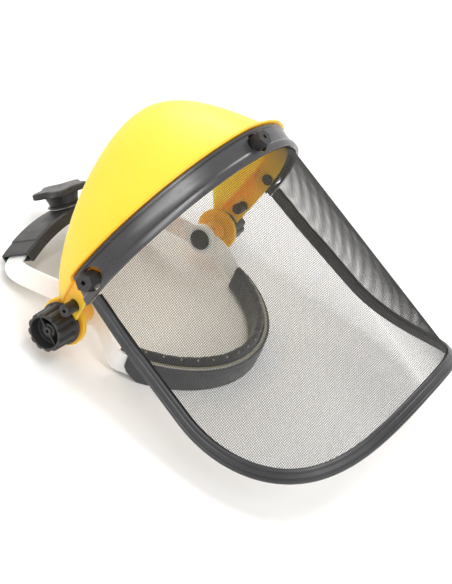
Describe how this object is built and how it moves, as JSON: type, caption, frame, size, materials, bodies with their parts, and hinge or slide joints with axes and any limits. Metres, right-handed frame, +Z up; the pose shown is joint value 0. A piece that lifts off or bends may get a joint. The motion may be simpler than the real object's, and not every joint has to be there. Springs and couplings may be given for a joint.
{
  "type": "face shield",
  "caption": "Yellow brow guard tilted up on friction pivots, with a curved woven wire window in black edging, on a headgear with a padded band and a rear ratchet.",
  "frame": {"origin": "middle of the bounding box in plan, on the table the headgear stands on", "axes": "+Z up, -Y towards the wearer's front, +X towards the wearer's left"},
  "size_m": [0.2342, 0.2946, 0.1548],
  "materials": {
    "guard_yellow": "smooth gloss, slightly see-through",
    "spacer_amber": "smooth",
    "moulded_black": "fine moulded satin",
    "trim_black": "satin",
    "woven_wire": "plain woven dark wire",
    "strap_white": "smooth",
    "pad_foam": "soft foam",
    "cover_cloth": "dark woven cloth",
    "plated_steel": "plated"
  },
  "bodies": {
    "headgear": {"headband": "strap_white", "sweatband_pad": "pad_foam", "sweatband_cover": "cover_cloth", "strap_right": "strap_white", "strap_left": "strap_white", "pivot_bolt_right": "moulded_black", "pivot_bolt_left": "moulded_black", "spacer_right": "spacer_amber", "spacer_left": "spacer_amber", "friction_washer_right": "plated_steel", "friction_washer_left": "plated_steel", "ratchet_housing": "moulded_black", "ratchet_base": "moulded_black", "detent_washer": "plated_steel"},
    "guard": {"brow_guard": "guard_yellow", "visor_band": "moulded_black", "mesh_screen": "woven_wire", "edge_trim": "trim_black", "peg_right": "moulded_black", "peg_front": "moulded_black", "peg_left": "moulded_black", "stop_pin_right": "moulded_black", "stop_pin_left": "moulded_black"},
    "clamp_right": {"side_knob_right": "moulded_black"},
    "clamp_left": {"side_knob_left": "moulded_black"},
    "ratchet": {"ratchet_knob": "moulded_black", "pinion": "moulded_black", "knob_screw": "plated_steel"},
    "rack_right": {"rack_right": "strap_white"},
    "rack_left": {"rack_left": "strap_white"}
  },
  "joints": [
    {"name": "visor_tilt", "type": "hinge", "parent": "headgear", "child": "guard", "pos_m": [0, 0.0518, 0.0232], "axis": [1, 0, 0], "range_deg": [-4, 76]},
    {"name": "clamp_turn_right", "type": "hinge", "parent": "headgear", "child": "clamp_right", "pos_m": [0, 0.0518, 0.0232], "axis": [1, 0, 0], "range_deg": [-180, 180]},
    {"name": "clamp_turn_left", "type": "hinge", "parent": "headgear", "child": "clamp_left", "pos_m": [0, 0.0518, 0.0232], "axis": [1, 0, 0], "range_deg": [-180, 180]},
    {"name": "ratchet_turn", "type": "hinge", "parent": "headgear", "child": "ratchet", "pos_m": [0, 0.1218, 0.0242], "axis": [0, 0.6428, 0.766], "range_deg": [0, 80]},
    {"name": "rack_travel_right", "type": "hinge", "parent": "headgear", "child": "rack_right", "pos_m": [0, 0.03052, -0.08458], "axis": [0, 0.766, -0.6428], "range_deg": [0, 3]},
    {"name": "rack_travel_left", "type": "hinge", "parent": "headgear", "child": "rack_left", "pos_m": [0, 0.03052, -0.08458], "axis": [0, 0.766, -0.6428], "range_deg": [-3, 0]}
  ],
  "couplings": [
    {"joint": "rack_travel_right", "follows": "ratchet_turn", "ratio": 0.035211},
    {"joint": "rack_travel_left", "follows": "ratchet_turn", "ratio": -0.035211}
  ]
}
